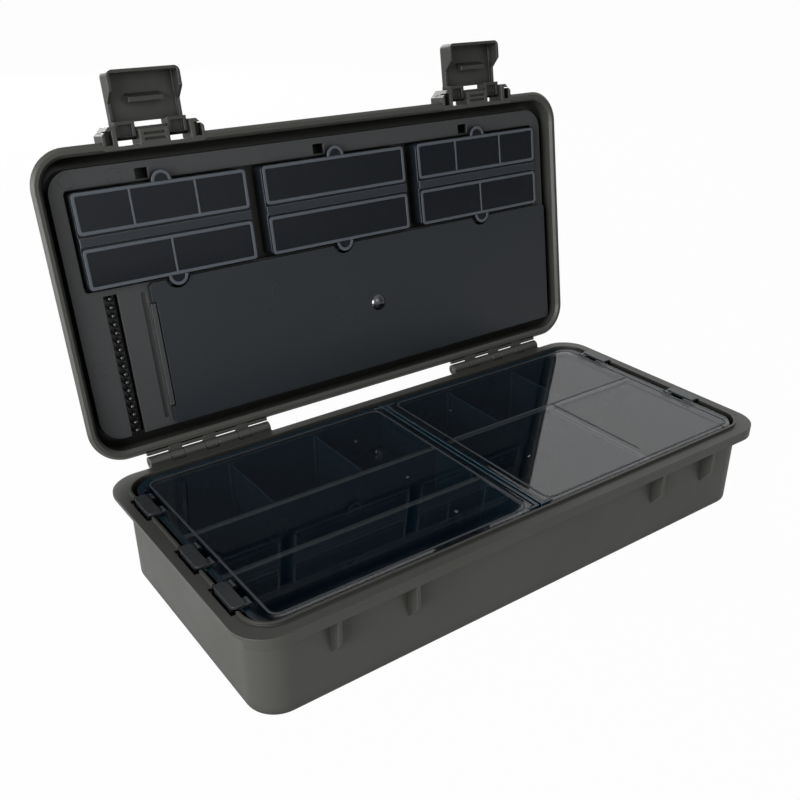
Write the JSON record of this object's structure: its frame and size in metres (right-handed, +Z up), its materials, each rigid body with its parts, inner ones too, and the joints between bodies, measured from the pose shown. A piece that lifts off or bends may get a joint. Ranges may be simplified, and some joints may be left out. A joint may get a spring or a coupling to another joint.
{
  "type": "tackle box",
  "caption": "Rectangular hinged tackle box shown open, with lift-out compartment trays under clear lids, small bit boxes and a cover panel in the lid, and over-centre latches.",
  "frame": {"origin": "centre of the tub's flat underside", "axes": "+X right along the box's length, +Y back towards the hinges, +Z up"},
  "size_m": [0.391, 0.2413, 0.2842],
  "materials": {
    "case_plastic": "satin moulded, fine grain",
    "latch_plastic": "satin moulded",
    "tray_plastic": "smoked, smooth",
    "clear_cover": "polished, smoked clear",
    "clip_plastic": "smooth",
    "panel_plastic": "smooth",
    "knob_chrome": "polished",
    "pin_steel": "drawn"
  },
  "bodies": {
    "tub": {"base_tub": "case_plastic", "hinge_pin_left": "pin_steel", "hinge_pin_right": "pin_steel"},
    "lid": {"lid_shell": "case_plastic", "lid_liner": "case_plastic", "hook_rack": "case_plastic", "latch_pin_left": "pin_steel", "latch_pin_right": "pin_steel"},
    "left_tray": {"tray_left": "tray_plastic", "divider_left_1": "tray_plastic", "divider_left_2": "tray_plastic"},
    "right_tray": {"tray_right": "tray_plastic", "divider_right_1": "tray_plastic", "divider_right_2": "tray_plastic"},
    "left_tray_lid": {"tray_lid_left": "clear_cover"},
    "right_tray_lid": {"tray_lid_right": "clear_cover"},
    "left_latch": {"latch_left": "latch_plastic"},
    "right_latch": {"latch_right": "latch_plastic"},
    "storage_panel": {"lid_panel": "panel_plastic", "panel_knob": "knob_chrome"},
    "left_back_clip": {"clip_left_back": "clip_plastic"},
    "left_middle_clip": {"clip_left_middle": "clip_plastic"},
    "left_front_clip": {"clip_left_front": "clip_plastic"},
    "right_back_clip": {"clip_right_back": "clip_plastic"},
    "right_front_clip": {"clip_right_front": "clip_plastic"},
    "left_bit_box": {"bit_box_left": "tray_plastic"},
    "left_upper_flip": {"flip_left_upper": "clear_cover"},
    "left_lower_flip": {"flip_left_lower": "clear_cover"},
    "middle_bit_box": {"bit_box_middle": "tray_plastic"},
    "middle_upper_flip": {"flip_middle_upper": "clear_cover"},
    "middle_lower_flip": {"flip_middle_lower": "clear_cover"},
    "right_bit_box": {"bit_box_right": "tray_plastic"},
    "right_upper_flip": {"flip_right_upper": "clear_cover"},
    "right_lower_flip": {"flip_right_lower": "clear_cover"}
  },
  "joints": [
    {"name": "lid_hinge", "type": "hinge", "parent": "tub", "child": "lid", "pos_m": [0, 0.0994, 0.059], "axis": [-1, 0, 0], "range_deg": [-99, 0]},
    {"name": "left_latch_pivot", "type": "hinge", "parent": "lid", "child": "left_latch", "pos_m": [-0.1205, 0.13774, 0.24995], "axis": [-1, 0, 0], "range_deg": [-90, 30]},
    {"name": "left_tray_lift", "type": "slide", "parent": "tub", "child": "left_tray", "axis": [0, 0, 1], "range_m": [0, 0.07]},
    {"name": "left_tray_lid_hinge", "type": "hinge", "parent": "left_tray", "child": "left_tray_lid", "pos_m": [-0.0052, 0, 0.0581], "axis": [0, 1, 0], "range_deg": [0, 85]},
    {"name": "right_latch_pivot", "type": "hinge", "parent": "lid", "child": "right_latch", "pos_m": [0.1205, 0.13774, 0.24995], "axis": [-1, 0, 0], "range_deg": [-90, 30]},
    {"name": "right_tray_lift", "type": "slide", "parent": "tub", "child": "right_tray", "axis": [0, 0, 1], "range_m": [0, 0.07]},
    {"name": "right_tray_lid_hinge", "type": "hinge", "parent": "right_tray", "child": "right_tray_lid", "pos_m": [0.0052, 0, 0.0581], "axis": [0, -1, 0], "range_deg": [0, 85]},
    {"name": "left_back_clip_pivot", "type": "hinge", "parent": "left_tray_lid", "child": "left_back_clip", "pos_m": [-0.1775, 0.051, 0.0593], "axis": [0, 1, 0], "range_deg": [0, 60]},
    {"name": "left_middle_clip_pivot", "type": "hinge", "parent": "left_tray_lid", "child": "left_middle_clip", "pos_m": [-0.1775, -0.0115, 0.0593], "axis": [0, 1, 0], "range_deg": [0, 60]},
    {"name": "left_front_clip_pivot", "type": "hinge", "parent": "left_tray_lid", "child": "left_front_clip", "pos_m": [-0.1775, -0.053, 0.0593], "axis": [0, 1, 0], "range_deg": [0, 60]},
    {"name": "right_back_clip_pivot", "type": "hinge", "parent": "right_tray_lid", "child": "right_back_clip", "pos_m": [0.1775, 0.051, 0.0593], "axis": [0, -1, 0], "range_deg": [0, 60]},
    {"name": "right_front_clip_pivot", "type": "hinge", "parent": "right_tray_lid", "child": "right_front_clip", "pos_m": [0.1775, -0.0335, 0.0593], "axis": [0, -1, 0], "range_deg": [0, 60]},
    {"name": "left_bit_box_unclip", "type": "slide", "parent": "lid", "child": "left_bit_box", "axis": [0, -0.9877, 0.1564], "range_m": [0, 0.015]},
    {"name": "left_upper_flip_hinge", "type": "hinge", "parent": "left_bit_box", "child": "left_upper_flip", "pos_m": [-0.1204, 0.1257, 0.1985], "axis": [1, 0, 0], "range_deg": [0, 85]},
    {"name": "left_lower_flip_hinge", "type": "hinge", "parent": "left_bit_box", "child": "left_lower_flip", "pos_m": [-0.1204, 0.12455, 0.19129], "axis": [-1, 0, 0], "range_deg": [0, 85]},
    {"name": "middle_bit_box_unclip", "type": "slide", "parent": "lid", "child": "middle_bit_box", "axis": [0, -0.9877, 0.1564], "range_m": [0, 0.015]},
    {"name": "middle_upper_flip_hinge", "type": "hinge", "parent": "middle_bit_box", "child": "middle_upper_flip", "pos_m": [0, 0.1257, 0.1985], "axis": [1, 0, 0], "range_deg": [0, 85]},
    {"name": "middle_lower_flip_hinge", "type": "hinge", "parent": "middle_bit_box", "child": "middle_lower_flip", "pos_m": [0, 0.12455, 0.19129], "axis": [-1, 0, 0], "range_deg": [0, 85]},
    {"name": "right_bit_box_unclip", "type": "slide", "parent": "lid", "child": "right_bit_box", "axis": [0, -0.9877, 0.1564], "range_m": [0, 0.015]},
    {"name": "right_upper_flip_hinge", "type": "hinge", "parent": "right_bit_box", "child": "right_upper_flip", "pos_m": [0.1204, 0.1257, 0.1985], "axis": [1, 0, 0], "range_deg": [0, 85]},
    {"name": "right_lower_flip_hinge", "type": "hinge", "parent": "right_bit_box", "child": "right_lower_flip", "pos_m": [0.1204, 0.12455, 0.19129], "axis": [-1, 0, 0], "range_deg": [0, 85]},
    {"name": "panel_lift", "type": "slide", "parent": "lid", "child": "storage_panel", "axis": [0, -0.9877, 0.1564], "range_m": [0, 0.015]}
  ]
}
